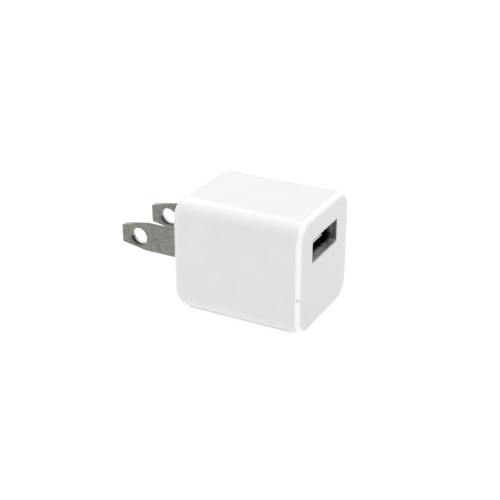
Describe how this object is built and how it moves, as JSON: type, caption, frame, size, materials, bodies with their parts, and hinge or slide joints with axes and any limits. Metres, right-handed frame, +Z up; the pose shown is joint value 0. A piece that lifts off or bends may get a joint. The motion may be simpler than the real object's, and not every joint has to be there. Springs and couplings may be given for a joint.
{
  "type": "usb wall charger",
  "caption": "Small white cube-shaped USB mains charger with rounded long edges, two fixed flat perforated blades on the wall side and a USB-A port on the opposite face.",
  "frame": {"origin": "centre of the housing's flat underside, half way between the port face and the wall face", "axes": "+Y from the port face to the wall, along the blades; +Z up, square to the flat underside; +X to the right when looking at the port face"},
  "size_m": [0.0256, 0.0474, 0.0264],
  "materials": {
    "housing_plastic": "smooth moulded, semi-gloss",
    "plate_plastic": "smooth moulded, slightly less glossy than the housing",
    "carrier_plastic": "as moulded",
    "insulator_film": "thin film",
    "blade_nickel": "nickel-plated brass, satin with fine grain",
    "lead_black": "insulated wire",
    "lead_white": "insulated wire",
    "shell_steel": "tin-plated sheet steel",
    "tongue_plastic": "moulded",
    "contact_plating": "plated copper alloy, bright",
    "board_green": "solder mask on glass-fibre laminate",
    "board_brown": "paper laminate",
    "chip_black": "moulded epoxy",
    "capacitor_can": "bare can",
    "capacitor_sleeve": "shrink sleeve on an aluminium can",
    "resistor_black": "glazed chip with tinned ends",
    "ceramic_tan": "fired ceramic with tinned ends",
    "header_black": "moulded",
    "pin_tin": "tinned wire",
    "ferrite": "sintered and ground",
    "bobbin_black": "moulded phenolic",
    "winding_copper": "enamelled copper wire",
    "tape_yellow": "polyester tape",
    "resistor_blue": "lacquered, with colour bands",
    "opto_white": "moulded epoxy",
    "disc_blue": "dipped lacquer",
    "solder": "bright solder"
  },
  "bodies": {
    "charger": {"housing": "housing_plastic", "port_plate": "plate_plastic", "blade_carrier": "carrier_plastic", "insulator_sheet": "insulator_film", "blade_line": "blade_nickel", "blade_neutral": "blade_nickel", "lead_line": "lead_black", "lead_neutral": "lead_white", "usb_shell": "shell_steel", "usb_tongue": "tongue_plastic", "usb_contact_tails": "contact_plating", "output_board": "board_green", "output_diode": "chip_black", "output_capacitor_left": "capacitor_can", "output_capacitor_right": "capacitor_can", "output_chip_resistors": "resistor_black", "output_chip_capacitors": "ceramic_tan", "mains_board": "board_brown", "link_header": "header_black", "link_pins": "pin_tin", "core_half_lower": "ferrite", "core_half_upper": "ferrite", "transformer_bobbin": "bobbin_black", "transformer_winding": "winding_copper", "transformer_tape": "tape_yellow", "transformer_pins": "pin_tin", "input_capacitor_tall": "capacitor_sleeve", "input_capacitor_short": "capacitor_sleeve", "filter_choke_core": "ferrite", "filter_choke_coil": "winding_copper", "fuse_resistor": "resistor_blue", "bridge_rectifier": "chip_black", "switching_transistor": "chip_black", "controller_chip": "chip_black", "optocoupler": "opto_white", "suppression_capacitor": "disc_blue", "mains_chip_resistors": "resistor_black", "mains_chip_capacitors": "ceramic_tan", "solder_joints": "solder"},
    "contact_spring_vbus": {"contact_spring_vbus": "contact_plating"},
    "contact_spring_data_minus": {"contact_spring_data_minus": "contact_plating"},
    "contact_spring_data_plus": {"contact_spring_data_plus": "contact_plating"},
    "contact_spring_ground": {"contact_spring_ground": "contact_plating"}
  },
  "joints": [
    {"name": "flex_vbus", "type": "hinge", "parent": "charger", "child": "contact_spring_vbus", "pos_m": [-0.0035, -0.0059, 0.01806], "axis": [1, 0, 0], "range_deg": [0, 4], "stiffness_Nm_per_rad": 0.04},
    {"name": "flex_data_minus", "type": "hinge", "parent": "charger", "child": "contact_spring_data_minus", "pos_m": [-0.001, -0.0059, 0.01806], "axis": [1, 0, 0], "range_deg": [0, 4], "stiffness_Nm_per_rad": 0.04},
    {"name": "flex_data_plus", "type": "hinge", "parent": "charger", "child": "contact_spring_data_plus", "pos_m": [0.001, -0.0059, 0.01806], "axis": [1, 0, 0], "range_deg": [0, 4], "stiffness_Nm_per_rad": 0.04},
    {"name": "flex_ground", "type": "hinge", "parent": "charger", "child": "contact_spring_ground", "pos_m": [0.0035, -0.0059, 0.01806], "axis": [1, 0, 0], "range_deg": [0, 4], "stiffness_Nm_per_rad": 0.04}
  ]
}
